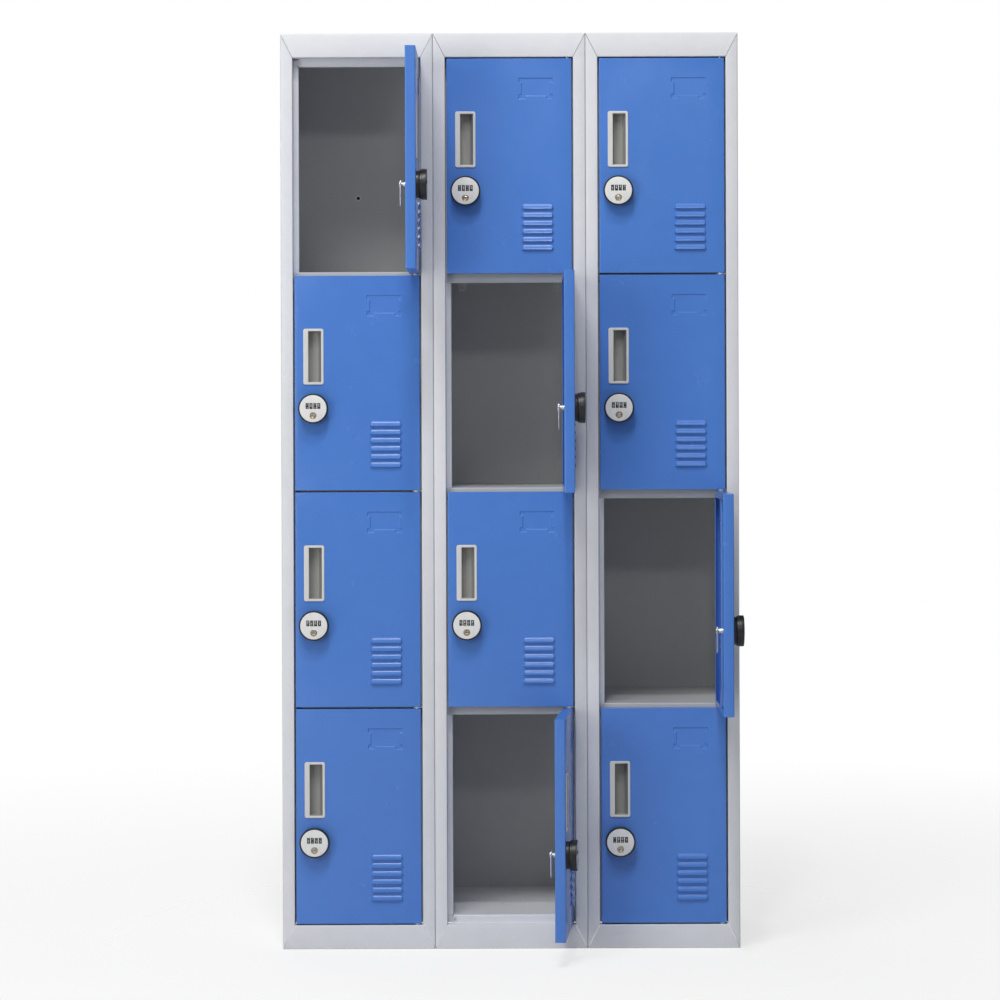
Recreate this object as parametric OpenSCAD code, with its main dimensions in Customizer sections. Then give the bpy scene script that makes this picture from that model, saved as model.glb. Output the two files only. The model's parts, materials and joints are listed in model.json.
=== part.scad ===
// Bank of steel lockers: bays bolted side by side, each with a stack of compartments.
// Every compartment has a pan door hung on pins at its right, with a recessed pull,
// a four-dial combination lock, a pressed recess for a card and pressed louvres.
//
// X runs across the front, Y from front to back and Z up. The origin is the centre of
// the footprint, on the floor. Sheet pieces are drawn as folded outlines, extruded.

/* [Cabinet] */
// Height of the cabinet
cab_h = 1800; // [1500:10:2200]
// Depth of the cabinet, without the locks
cab_d = 400; // [380:5:600]
// Width of one bay
bay_w = 300; // [280:5:420]
// Thickness of the carcass sheet
sheet_t = 1.0; // [0.8:0.1:1.5]
// Inside radius of every fold
bend_r = 1.0; // [0.5:0.1:1.5]
// Gap left between two bays
bay_gap = 0.4; // [0.2:0.1:1]
// Gap between carcass pieces that lie side by side
fit = 0.3; // [0.2:0.05:0.5]

/* [Front frame] */
// Width of each side jamb, seen from the front
jamb_w = 24; // [20:1:40]
// Height of the top and base rails, seen from the front
rail_h = 47; // [40:1:80]
// How far the side stops reach in from the jambs
jamb_stop = 11; // [9:1:16]
// How far the top and base stops reach in from the rails
rail_stop = 16; // [14:1:24]
// Depth of the hem that ends each stop
stop_hem = 3.5; // [2.5:0.5:6]
// How far the corner lugs reach behind the top and base stops
lug_reach = 10; // [9:0.5:16]
// Gap along each mitred corner of the frame, measured upwards
mitre_gap = 1.4; // [0.6:0.1:2]
// Width of the rear flanges
rear_lip = 15; // [13:1:25]
// Depth of the base rail's flange, which lies on the floor
foot_lip = 25; // [15:1:40]
// Height of the side flanges of the top and base panels
side_flange = 20; // [12:1:30]

/* [Shelves] */
// Height of a shelf's top above the bottom edge of the door above it
shelf_rise = 4; // [2:0.5:8]
// Height of a shelf's front lip
shelf_lip = 22; // [16:1:30]
// Depth of the hem under a shelf's front lip
shelf_hem = 8; // [5:1:12]
// Height of a shelf's side flanges
shelf_flange = 15; // [10:1:20]
// Length of each tab that a shelf rests on
tab_l = 30; // [15:1:50]
// How far each tab reaches out of the side panel
tab_reach = 12; // [6:1:20]
// Distance of the tabs from the front and from the back of the cabinet
tab_inset = 70; // [50:5:120]
// Width of the clips that hold a shelf to the back panel
clip_w = 16; // [12:1:30]
// Length of each leg of a clip
clip_leg = 24; // [12:1:30]
// Thickness of a clip
clip_t = 1.5; // [1:0.1:2.5]
// Distance between the two clips of a shelf
clip_span = 198; // [100:2:210]

/* [Back panel] */
// How far the back panel's face is set in from its rear lips
back_recess = 7; // [6:0.5:15]
// Width of the back panel's rear lips
back_lip = 12; // [10:1:20]
// Distance of the fixing holes from the middle of the bay, to the left
fix_offset = 16; // [0:1:60]
// Distance of the wall hole from the top of the cabinet
wall_hole_drop = 297; // [120:1:330]
// Distance of the floor hole from the front of the cabinet
floor_hole_y = 165; // [80:1:300]
// Radius of the wall and floor holes
fix_hole_r = 3.5; // [2.5:0.1:5]

/* [Doors] */
// How far the doors that stand square to the front are turned
open_square = 90; // [0:1:105]
// How far the bottom middle door is turned
open_low = 85; // [0:1:105]
// Depth of the door pan
door_t = 20; // [18:1:22]
// Thickness of the door sheet
door_sheet = 1.0; // [0.8:0.1:1.2]
// Gap at each side of a door
side_gap = 3; // [2.8:0.1:5]
// Gap between an end door and its rail
end_gap = 3; // [2.5:0.1:5]
// Gap between two doors
tier_gap = 4; // [3.6:0.1:6]
// Gap behind a closed door
back_gap = 3; // [2.8:0.1:5]
// Width of the inner lips at the sides of the door
door_lip = 15; // [10:1:18]
// Height of the inner lips at the top and bottom of the door
door_end_lip = 12; // [8:1:20]
// Distance of the hat stiffener from the lock edge
stiff_x = 91; // [85:1:105]
// Width of the hat stiffener
stiff_w = 30; // [20:1:32]
// Width of each foot of the stiffener
stiff_foot = 9; // [6:1:9]

/* [Hinges] */
// Distance of the hinge axis from the door's edge and from its front
hinge_inset = 8; // [7:0.5:9]
// Radius of a hinge pin
pin_r = 3; // [2:0.1:3.5]
// Clearance round a pin
pin_clear = 0.05; // [0.02:0.01:0.1]
// How far a pin reaches into a door
pin_reach = 4; // [3:0.5:8]
// Radius of a pin's collar and of its head
collar_r = 5.5; // [4.5:0.1:6]
// Thickness of a pin's head
pin_head = 1.5; // [1:0.1:3]
// Thickness of the plates between the doors
plate_t = 2; // [1.5:0.1:2.4]
// Radius of a plate's nose
plate_nose = 7; // [6:0.1:7]
// Gap between a pin's collar and the door above it
collar_gap = 0.2; // [0.1:0.05:0.4]

/* [Louvres] */
// Number of louvres
louvres = 6; // [3:1:7]
// Distance from one louvre to the next
louvre_pitch = 16; // [14:0.5:18]
// Height of a louvre's hood
louvre_h = 10; // [8:0.5:12]
// How far a hood stands out of the door
louvre_rise = 4.5; // [3:0.1:6]
// Width of a hood at its mouth
louvre_w = 64.5; // [40:0.5:66]
// Width of a hood at its top
louvre_top = 53.6; // [30:0.2:56]
// Distance of the hoods from the hinge edge
louvre_inset = 35; // [25:0.5:35]
// Height of the lowest mouth above the door's bottom edge
louvre_z = 46; // [30:1:60]

/* [Card holder] */
// Width of the recess for the card
card_w = 69; // [50:1:70]
// Height of the recess for the card
card_h = 42; // [36:1:50]
// Distance of the recess from the hinge edge
card_inset = 35.5; // [28:0.5:35.5]
// Distance of the recess from the door's top edge
card_drop = 38; // [25:1:45]
// Depth to which the recess is pressed in
card_depth = 1.6; // [0.8:0.1:2]
// How far the tabs at the sides and the bottom reach into the recess
card_reach = 5.5; // [4:0.5:8]
// Length of the side tabs
card_side = 22; // [12:1:26]
// Length of the bottom tab
card_bar = 40; // [20:1:48]

/* [Recessed pull] */
// Width of the pull's flange
pull_w = 40; // [34:1:42]
// Height of the pull's flange
pull_h = 110; // [90:1:112]
// Distance of the pull from the lock edge
pull_inset = 17; // [16.5:0.5:22]
// Distance of the pull from the door's top edge
pull_drop = 104; // [60:1:105]
// How far the flange stands out of the door
pull_flange = 2; // [1.5:0.1:3]
// Width of the flange outside the cut-out
pull_border = 3; // [2:0.1:4]
// Corner radius of the flange
pull_corner = 4; // [2.5:0.1:6]
// Depth of the cup
pull_depth = 17; // [12:0.5:17]
// Thickness of the cup's walls
pull_wall = 1.5; // [1:0.1:2]
// Width of the lip that the fingers hook behind
pull_lip = 7; // [5:0.5:9]
// Thickness of that lip
pull_lip_t = 2.5; // [2:0.1:3.5]
// Width of the cup's sloping wall
pull_slope = 6; // [3:0.5:8]

/* [Lock] */
// Distance of the lock's middle from the lock edge
lock_inset = 37; // [34:0.5:40]
// Distance of the lock's middle from the door's top edge
lock_drop = 261; // [255:1:300]
// Radius of the rose
rose_r = 26.5; // [24:0.5:28]
// Thickness of the rose
rose_t = 6.5; // [4:0.5:8]
// Radius of the rose's barrel
barrel_r = 12; // [10:0.5:13]
// Length of the barrel behind the front of the door
barrel_l = 16; // [10:0.5:18]
// Radius of the nut on the barrel, at its corners
nut_r = 18; // [16:0.5:19]
// Thickness of that nut
nut_t = 5; // [3:0.5:7]
// Radius of the knob's grip
knob_r = 29.5; // [28.5:0.5:31]
// Radius of the knob's neck
neck_r = 28.5; // [27:0.5:30]
// Depth of the neck
neck_t = 4; // [2:0.5:5]
// Depth of the whole knob
knob_t = 13.7; // [13:0.1:18]
// Gap between the rose and the knob
knob_gap = 0.3; // [0.2:0.05:0.5]
// Number of grip grooves over the top of the knob
grooves = 9; // [5:2:13]
// Width and depth of a grip groove
groove = 1.4; // [0.8:0.1:2]
// Angle between grip grooves
groove_step = 9; // [7:0.5:12]
// Radius of the face plate
face_r = 26.5; // [25:0.5:27.5]
// Thickness of the face plate
face_t = 0.8; // [0.6:0.1:1.2]
// How far the face plate sits below the knob's rim
face_drop = 0.2; // [0:0.1:0.5]
// Radius of the spindle
spindle_r = 5; // [4:0.1:6]
// Radius of the key cylinder
key_r = 6.75; // [5:0.05:7]
// Depth of the key cylinder
key_l = 11; // [8:0.5:12]
// Distance of the key cylinder below the lock's middle
key_drop = 14; // [13.5:0.5:17]
// Length of the key slot
key_slot_l = 8; // [6:0.5:9]
// Width of the key slot
key_slot_w = 1.4; // [1:0.1:2]
// Width of the cam
cam_w = 17; // [12:0.5:20]
// Thickness of the cam
cam_t = 2.5; // [2:0.1:4]
// Distance of the cam's tip from the spindle's axis
cam_reach = 42; // [38:0.5:46]
// How far the cam screw's head reaches past the spindle
cam_screw_rim = 1; // [0.5:0.5:3]
// Gap between the stop's hem and the cam
cam_gap = 0.6; // [0.4:0.1:2]
// Gap round the pieces that are seated in the knob
seat_gap = 0.05; // [0.02:0.01:0.1]

/* [Dials] */
// Number of dials
dials = 4; // [3:1:4]
// Distance from one dial to the next
dial_pitch = 7.6; // [7.2:0.1:8]
// Radius of a dial
dial_r = 5.7; // [5:0.1:5.7]
// How far the dials stand out of the face plate
dial_proud = 0.8; // [0.4:0.1:1.2]
// Number of places on a dial
dial_places = 10; // [10:1:12]
// Depth of the notches between the places
dial_notch = 0.4; // [0.2:0.1:0.6]
// Room round the dials
dial_room = 0.5; // [0.4:0.1:0.8]
// Radius of the dials' axle
axle_r = 1; // [0.8:0.1:1.5]
// How far the axle reaches into the knob at each end
axle_seat = 2; // [1:0.5:3]
// Width of each window in the face plate
window_w = 6; // [5:0.1:6.4]
// Height of each window
window_h = 11.4; // [10:0.1:12]
// Gap at each side of a dial in its window
window_gap = 0.3; // [0.2:0.05:0.5]
// Distance of the dials above the lock's middle
dial_rise = 5; // [4.5:0.5:6]

/* [Fasteners] */
// Radius of the rivets
rivet_r = 1.6; // [1.2:0.1:2.4]
// Radius of a rivet's head
rivet_head_r = 2.8; // [2.4:0.1:4]
// Gap between the head of a corner rivet and the end of its stop
rivet_gap = 0.5; // [0.3:0.1:1.5]
// Thickness of a rivet's head and tail
rivet_head = 0.9; // [0.5:0.1:1.5]
// Radius of the bolts that join the bays
bolt_r = 3; // [2.5:0.1:4]
// Radius of the holes for those bolts
bolt_hole_r = 3.3; // [3.1:0.1:4.5]
// Radius of a bolt's head and nut, at their corners
bolt_head_r = 5.8; // [5:0.1:8]
// Thickness of a bolt's head
bolt_head = 4; // [3:0.5:6]
// Clearance of a nut on its bolt
thread_gap = 0.05; // [0.02:0.01:0.1]
// How far a bolt's end stands out of its nut
bolt_end = 2; // [1:0.5:4]
// Distance of the front bolts from the front
bolt_front = 110; // [60:5:150]
// Distance of the rear bolts from the back
bolt_rear = 80; // [40:5:150]
// Distance of the bolts from the floor and from the top
bolt_inset = 150; // [100:5:220]
// Radius of the screws in the clips
screw_r = 2; // [1.5:0.1:2.5]
// Radius of a clip screw's head
screw_head_r = 3.6; // [3:0.1:5]
// Thickness of a clip screw's head
screw_head = 2; // [1:0.1:3]

/* [Hidden] */
$fn = 48;
EPS = 0.01;
OUT = 1;
BAYS = 3;
TIERS = 4;
BEND_STEPS = 3;
HOOD_STEPS = 4;
BACK_RIVETS = 5;

CARCASS = "#c9ccd3";
INSIDE = "#b9bcc2";
DOOR_BLUE = "#4f7dc4";
PULL_GREY = "#8d8a86";
LOCK_BLACK = "#232426";
FACE_WHITE = "#e8e8e6";
ZINC = "#b4b7ba";
BRASS = "#b39b58";

// How far each door is turned, top row first
OPEN = [
    [open_square, 0, 0],
    [0, open_square, 0],
    [0, 0, open_square],
    [0, open_low, 0]
];

seam = bay_gap / 2;
wall_x = seam + sheet_t + fit;
lip_y = door_t + back_gap;
stop_y = lip_y + sheet_t + fit;
hem_y = stop_y + stop_hem;
wide_y = hem_y + fit;
back_y = cab_d - sheet_t - back_recess;
floor_z = rail_h + rail_stop;
stop_x = jamb_w + jamb_stop;
neck_x = stop_x + fit;
mitre_slope = rail_h / jamb_w;

door_w = bay_w - 2 * (jamb_w + side_gap);
door_h = (cab_h - 2 * (rail_h + end_gap) - (TIERS - 1) * tier_gap) / TIERS;
door_x = jamb_w + side_gap;
axis_x = door_x + door_w - hinge_inset;

pull_x = pull_inset + pull_border;
pull_z = door_h - pull_drop - pull_h + pull_border;
cut_w = pull_w - 2 * pull_border;
cut_h = pull_h - 2 * pull_border;
cup_back = pull_depth - pull_wall;

lock_z = door_h - lock_drop;
knob_back = -rose_t - knob_gap;
knob_front = knob_back - knob_t;
face_front = knob_front + face_drop;
face_back = face_front + face_t;
dial_t = window_w - 2 * window_gap;
dial_y = face_front - dial_proud + dial_r;
case_w = dials * dial_pitch + 2 * dial_room;
case_h = 2 * (dial_r + dial_room);
case_back = dial_y + dial_r + dial_room;
cam_y = hem_y + cam_gap;

function tag(c, r) = str("c", c + 1, "r", r + 1);
function bay_x(c) = (c - BAYS / 2) * bay_w;
function door_z(r) = rail_h + end_gap + (TIERS - 1 - r) * (door_h + tier_gap);
function shelf_z(r) = door_z(r) + shelf_rise;

// ---- Folded sheet -------------------------------------------------------------
// A path is the outer face of a sheet, whose thickness t lies to the left of it.

function unit(v) = v / norm(v);
function left(v) = [-v[1], v[0]];
function turned(v, a) = [v[0] * cos(a) - v[1] * sin(a), v[0] * sin(a) + v[1] * cos(a)];
function reversed(list) = [for (i = [len(list) - 1 : -1 : 0]) list[i]];

// Arc round the corner b, on the face that lies o to the left of the path
function bend(a, b, c, o, t) =
    let (
        d = unit(b - a),
        e = unit(c - b),
        angle = atan2(cross(d, e), d * e),
        side = sign(angle),
        r = (side > 0) == (o > 0) ? bend_r : bend_r + t,
        corner = b + (left(d) + left(e)) * o / (1 + d * e),
        start = corner - d * r * tan(abs(angle) / 2),
        centre = start + left(d) * side * r
    )
    [for (i = [0 : BEND_STEPS]) centre + turned(start - centre, angle * i / BEND_STEPS)];

function face(path, o, t) =
    let (last = len(path) - 1)
    concat(
        [path[0] + left(unit(path[1] - path[0])) * o],
        [for (k = [1 : last - 1]) each bend(path[k - 1], path[k], path[k + 1], o, t)],
        [path[last] + left(unit(path[last] - path[last - 1])) * o]
    );

function sheet(path, t) = concat(face(path, 0, t), reversed(face(path, t, t)));

// ---- Helpers ------------------------------------------------------------------

module rod(y0, y1, r) {
    translate([0, y0, 0])
        rotate([-90, 0, 0])
            cylinder(r = r, h = y1 - y0);
}

module hex_rod(y0, y1, r) {
    translate([0, y0, 0])
        rotate([-90, 0, 0])
            cylinder(r = r, h = y1 - y0, $fn = 6);
}

// Shape drawn on the front, as a plate from y0 back to y1
module plate(y0, y1) {
    translate([0, y1, 0])
        rotate([90, 0, 0])
            linear_extrude(y1 - y0)
                children();
}

module rounded(w, h, r) {
    translate([r, 0])
        square([w - 2 * r, h]);
    translate([0, r])
        square([w, h - 2 * r]);
    for (x = [r, w - r], y = [r, h - r])
        translate([x, y])
            circle(r);
}

module in_bay(c) {
    translate([bay_x(c), -cab_d / 2, 0])
        children();
}

module in_bays() {
    for (c = [0 : BAYS - 1])
        in_bay(c)
            children();
}

// The same at the right of the bay, mirrored
module both_sides() {
    children();
    right_side()
        children();
}

module right_side() {
    translate([bay_w, 0, 0])
        mirror([1, 0, 0])
            children();
}

// The same at the top of the cabinet, upside down
module both_ends() {
    children();
    top_end()
        children();
}

module top_end() {
    translate([0, 0, cab_h])
        mirror([0, 0, 1])
            children();
}

// Places of the bolts on a side panel, in depth and height
function bolt_places() =
    [for (y = [bolt_front, cab_d - bolt_rear], z = [bolt_inset, cab_h - bolt_inset]) [y, z]];

function back_rivet_z(i) = bolt_inset + i * (cab_h - 2 * bolt_inset) / (BACK_RIVETS - 1);

module at_corner_rivet() {
    translate([neck_x + rivet_head_r + rivet_gap, stop_y, rail_h + rail_stop / 2])
        children();
}

module at_back_rivets() {
    for (i = [0 : BACK_RIVETS - 1])
        translate([wall_x + back_lip / 2, cab_d, back_rivet_z(i)])
            children();
}

module at_clips() {
    for (r = [0 : TIERS - 2], side = [-1, 1])
        translate([bay_w / 2 + side * clip_span / 2, back_y, shelf_z(r) - sheet_t])
            children();
}

// ---- Carcass ------------------------------------------------------------------

module side_panel() {
    path = [
        [seam + rear_lip, cab_d],
        [seam, cab_d],
        [seam, 0],
        [jamb_w, 0],
        [jamb_w, stop_y],
        [stop_x, stop_y],
        [stop_x, hem_y]
    ];
    difference() {
        union() {
            linear_extrude(cab_h)
                polygon(sheet(path, sheet_t));
            for (r = [0 : TIERS - 2], y = [tab_inset, cab_d - tab_inset - tab_l])
                translate([seam + sheet_t / 2, y, shelf_z(r) - shelf_flange - sheet_t])
                    cube([tab_reach, tab_l, sheet_t]);
        }
        both_ends() {
            plate(-OUT, wide_y)
                polygon([
                    [0, mitre_gap / 2],
                    [jamb_w + OUT, mitre_gap / 2 + mitre_slope * (jamb_w + OUT)],
                    [jamb_w + OUT, -OUT],
                    [0, -OUT]
                ]);
            translate([jamb_w, stop_y - EPS, -OUT])
                cube([jamb_stop + OUT, stop_hem + OUT, floor_z + fit + OUT]);
        }
        for (p = bolt_places())
            translate([0, p[0], p[1]])
                rotate([0, 90, 0])
                    cylinder(r = bolt_hole_r, h = 2 * wall_x);
        at_back_rivets()
            rod(-2 * sheet_t, OUT, rivet_r + pin_clear);
    }
    both_ends()
        corner_lug();
}

// Plate behind a side stop, to which the end of the top or base stop is riveted
module corner_lug() {
    lug_y = stop_y + sheet_t;
    difference() {
        plate(lug_y, lug_y + sheet_t)
            polygon([
                [jamb_w + sheet_t, rail_h + 2 * sheet_t],
                [stop_x + lug_reach, rail_h + 2 * sheet_t],
                [stop_x + lug_reach, floor_z - 2 * sheet_t],
                [stop_x - 2 * sheet_t, floor_z - 2 * sheet_t],
                [stop_x - 2 * sheet_t, floor_z + rail_stop],
                [jamb_w + sheet_t, floor_z + rail_stop]
            ]);
        at_corner_rivet()
            rod(-OUT, 4 * sheet_t, rivet_r + pin_clear);
    }
}

// A profile of height and depth, run across the bay
module across_bay(path) {
    translate([bay_w, 0, 0])
        rotate([0, -90, 0])
            linear_extrude(bay_w)
                polygon(sheet(path, sheet_t));
}

// What the side panel's front leaves no room for in a top or base panel
module rail_corner() {
    plate(-OUT, wide_y)
        polygon([
            [-OUT, -mitre_gap / 2 - mitre_slope * OUT],
            [jamb_w + fit, -mitre_gap / 2 + mitre_slope * (jamb_w + fit)],
            [jamb_w + fit, floor_z + OUT],
            [-OUT, floor_z + OUT]
        ]);
    translate([-OUT, lip_y - OUT, rail_h - 2 * sheet_t])
        cube([neck_x + OUT, wide_y - lip_y + OUT, rail_stop + 3 * sheet_t]);
}

// What is cut from each end of a top or base panel
module rail_ends() {
    both_sides() {
        rail_corner();
        translate([-OUT, wide_y - EPS, -OUT])
            cube([wall_x + OUT, cab_d, floor_z + 2 * OUT]);
        at_corner_rivet()
            rod(-OUT, 2 * sheet_t, rivet_r + pin_clear);
    }
    translate([axis_x, hinge_inset, rail_h - 2 * sheet_t])
        cylinder(r = pin_r + pin_clear, h = 4 * sheet_t);
}

module flange_pair(z0, z1) {
    both_sides()
        translate([wall_x, tab_inset, z0])
            cube([sheet_t, cab_d - 2 * tab_inset, z1 - z0]);
}

module top_panel() {
    path = [
        [rear_lip, cab_d],
        [0, cab_d],
        [0, 0],
        [rail_h, 0],
        [rail_h, stop_y],
        [floor_z, stop_y],
        [floor_z, hem_y]
    ];
    top_end()
        difference() {
            union() {
                across_bay(path);
                flange_pair(sheet_t / 2, side_flange);
            }
            rail_ends();
            both_sides()
                translate([-OUT, cab_d - bend_r - sheet_t - fit, -OUT])
                    cube([seam + rear_lip + fit + OUT, 2 * OUT + 4 * sheet_t, rail_h]);
        }
}

module base_panel() {
    path = [
        [0, foot_lip],
        [0, 0],
        [rail_h, 0],
        [rail_h, stop_y],
        [floor_z, stop_y],
        [floor_z, back_y - fit]
    ];
    difference() {
        union() {
            across_bay(path);
            flange_pair(floor_z - side_flange, floor_z - sheet_t / 2);
        }
        rail_ends();
        translate([bay_w / 2 - fix_offset, floor_hole_y, rail_h])
            cylinder(r = fix_hole_r, h = rail_h);
    }
}

module back_panel() {
    path = [
        [wall_x + back_lip, cab_d - sheet_t],
        [wall_x, cab_d - sheet_t],
        [wall_x, back_y],
        [bay_w - wall_x, back_y],
        [bay_w - wall_x, cab_d - sheet_t],
        [bay_w - wall_x - back_lip, cab_d - sheet_t]
    ];
    difference() {
        linear_extrude(cab_h - sheet_t - fit)
            polygon(sheet(path, sheet_t));
        both_sides()
            at_back_rivets()
                rod(-3 * sheet_t, OUT, rivet_r + pin_clear);
        at_clips()
            translate([0, 0, -clip_leg / 2])
                rod(-OUT, 2 * sheet_t, screw_r + pin_clear);
        translate([bay_w / 2 - fix_offset, back_y, cab_h - wall_hole_drop])
            rod(-OUT, 2 * sheet_t, fix_hole_r);
    }
}

// Shelf whose top is at z = 0
module shelf() {
    path = [
        [0, back_y - fit],
        [0, lip_y],
        [shelf_lip, lip_y],
        [shelf_lip, lip_y + shelf_hem]
    ];
    difference() {
        union() {
            rotate([0, 90, 0])
                linear_extrude(bay_w)
                    polygon(sheet(path, sheet_t));
            both_sides()
                translate([wall_x, wide_y + OUT, -shelf_flange])
                    cube([sheet_t, back_y - fit - wide_y - 2 * OUT, shelf_flange - sheet_t / 2]);
        }
        both_sides() {
            translate([-OUT, 0, -2 * shelf_lip])
                cube([jamb_w + fit + OUT, wide_y, 3 * shelf_lip]);
            translate([-OUT, lip_y + sheet_t, -2 * shelf_lip])
                cube([neck_x + OUT, wide_y - lip_y - sheet_t, 3 * shelf_lip]);
            translate([-OUT, wide_y - EPS, -2 * shelf_lip])
                cube([wall_x + OUT, cab_d, 3 * shelf_lip]);
        }
    }
}

// Angle clip under the rear of a shelf: origin under the shelf, on the back panel
module shelf_clip() {
    difference() {
        union() {
            translate([-clip_w / 2, -clip_leg, -clip_t])
                cube([clip_w, clip_leg, clip_t]);
            translate([-clip_w / 2, -clip_t, -clip_leg])
                cube([clip_w, clip_t, clip_leg]);
        }
        translate([0, 0, -clip_leg / 2])
            rod(-2 * clip_t, OUT, screw_r + pin_clear);
    }
}

module clip_screw() {
    translate([0, 0, -clip_leg / 2]) {
        rod(-clip_t - screw_head, -clip_t, screw_head_r);
        rod(-clip_t - EPS, back_recess - sheet_t, screw_r);
    }
}

module side_panels_left() {
    color(CARCASS)
        in_bays()
            side_panel();
}

module side_panels_right() {
    color(CARCASS)
        in_bays()
            right_side()
                side_panel();
}

module top_panels() {
    color(CARCASS)
        in_bays()
            top_panel();
}

module base_panels() {
    color(CARCASS)
        in_bays()
            base_panel();
}

module back_panels() {
    color(INSIDE)
        in_bays()
            back_panel();
}

module shelves() {
    color(INSIDE)
        in_bays()
            for (r = [0 : TIERS - 2])
                translate([0, 0, shelf_z(r)])
                    shelf();
}

module shelf_clips() {
    color(ZINC)
        in_bays()
            at_clips()
                shelf_clip();
}

module clip_screws() {
    color(ZINC)
        in_bays()
            at_clips()
                clip_screw();
}

// Bolt through two neighbouring side panels, with its nut, along +X from the seam
module bay_bolt() {
    reach = wall_x - fit;
    rotate([0, 90, 0]) {
        translate([0, 0, -reach - bolt_head])
            cylinder(r = bolt_head_r, h = bolt_head, $fn = 6);
        translate([0, 0, -reach - EPS])
            cylinder(r = bolt_r, h = 2 * reach + bolt_head + bolt_end);
        translate([0, 0, reach])
            difference() {
                cylinder(r = bolt_head_r, h = bolt_head, $fn = 6);
                translate([0, 0, -OUT])
                    cylinder(r = bolt_r + thread_gap, h = bolt_head + 2 * OUT);
            }
    }
}

module bay_bolts() {
    color(ZINC)
        for (c = [1 : BAYS - 1], p = bolt_places())
            in_bay(c)
                translate([0, p[0], p[1]])
                    bay_bolt();
}

module frame_rivets() {
    color(ZINC)
        in_bays()
            both_sides() {
                both_ends()
                    at_corner_rivet() {
                        rod(-rivet_head, 0, rivet_head_r);
                        rod(-EPS, 2 * sheet_t + EPS, rivet_r);
                        rod(2 * sheet_t, 2 * sheet_t + rivet_head, rivet_head_r);
                    }
                at_back_rivets() {
                    rod(-2 * sheet_t - EPS, 0, rivet_r);
                    rod(-2 * sheet_t - rivet_head, -2 * sheet_t, rivet_head_r);
                }
            }
}

// ---- Hinges -------------------------------------------------------------------

// Height of the middle of the gap under the door of row r
function gap_z(r) = door_z(r) - tier_gap / 2;

module hinge_plates() {
    color(CARCASS)
        in_bays()
            for (r = [0 : TIERS - 2])
                translate([axis_x, hinge_inset, gap_z(r) - plate_t / 2])
                    linear_extrude(plate_t)
                        difference() {
                            union() {
                                circle(plate_nose);
                                translate([-plate_nose, 0])
                                    square([
                                        plate_nose + hinge_inset + side_gap,
                                        lip_y - hinge_inset
                                    ]);
                            }
                            circle(pin_r + pin_clear);
                        }
}

// Pin from z0 up to z1 with its collar between c0 and c1
module hinge_pin(z0, z1, c0, c1) {
    translate([axis_x, hinge_inset, 0]) {
        translate([0, 0, z0])
            cylinder(r = pin_r, h = z1 - z0);
        translate([0, 0, c0])
            cylinder(r = collar_r, h = c1 - c0);
    }
}

module hinge_pins() {
    top_z = cab_h - rail_h;
    color(ZINC)
        in_bays() {
            for (r = [0 : TIERS - 2])
                hinge_pin(
                    door_z(r) - tier_gap - pin_reach,
                    door_z(r) + pin_reach,
                    gap_z(r) + plate_t / 2,
                    door_z(r) - collar_gap
                );
            hinge_pin(
                top_z - end_gap - pin_reach,
                top_z + sheet_t + EPS,
                top_z + sheet_t,
                top_z + sheet_t + pin_head
            );
            hinge_pin(
                rail_h - 2 * sheet_t,
                rail_h + end_gap + pin_reach,
                rail_h,
                rail_h + end_gap - collar_gap
            );
        }
}

// ---- Doors --------------------------------------------------------------------

// Places a door, drawn with its lock edge, front and bottom at zero, as it stands
module at_door(c, r) {
    in_bay(c)
        translate([axis_x, hinge_inset, door_z(r)])
            rotate([0, 0, OPEN[r][c]])
                translate([hinge_inset - door_w, -hinge_inset, 0])
                    children();
}

// Hood of a louvre, its mouth at z = 0: w wide at the mouth, top wide at the top
module hood(rise, w, top, h, back) {
    slope = (w - top) / 2;
    curve = [for (i = [0 : HOOD_STEPS])
        [-rise * cos(90 * i / HOOD_STEPS), h * sin(90 * i / HOOD_STEPS)]];
    intersection() {
        rotate([90, 0, 90])
            translate([0, 0, -w / 2 - OUT])
                linear_extrude(w + 2 * OUT)
                    polygon(concat([[back, 0]], curve, [[back, h]]));
        plate(-rise - OUT, back + OUT)
            polygon([[-w / 2, 0], [w / 2, 0], [w / 2 - slope, h], [slope - w / 2, h]]);
        translate([0, 0, -OUT])
            linear_extrude(h + 2 * OUT)
                polygon([
                    [-w / 2 + rise, -rise],
                    [w / 2 - rise, -rise],
                    [w / 2, 0],
                    [w / 2, back],
                    [-w / 2, back],
                    [-w / 2, 0]
                ]);
    }
}

module at_louvres() {
    for (i = [0 : louvres - 1])
        translate([door_w - louvre_inset - louvre_w / 2, 0, louvre_z + i * louvre_pitch])
            children();
}

module louvre_hoods() {
    at_louvres()
        hood(louvre_rise, louvre_w, louvre_top, louvre_h, door_sheet / 2);
}

module louvre_voids() {
    at_louvres()
        translate([0, 0, -EPS])
            hood(
                louvre_rise - door_sheet,
                louvre_w - 2 * door_sheet,
                louvre_top - 2 * door_sheet,
                louvre_h - door_sheet,
                door_sheet + OUT
            );
}

// Tapered block from y0 back to y1: w x h at y = 0, narrower by taper at each side
// for each unit of depth
module frustum(w, h, taper, y0, y1) {
    intersection() {
        linear_extrude(2 * h, center = true)
            polygon([
                [taper * y0 - w / 2, y0],
                [w / 2 - taper * y0, y0],
                [w / 2 - taper * y1, y1],
                [taper * y1 - w / 2, y1]
            ]);
        rotate([90, 0, 90])
            linear_extrude(2 * w, center = true)
                polygon([
                    [y0, taper * y0 - h / 2],
                    [y0, h / 2 - taper * y0],
                    [y1, h / 2 - taper * y1],
                    [y1, taper * y1 - h / 2]
                ]);
    }
}

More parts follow.
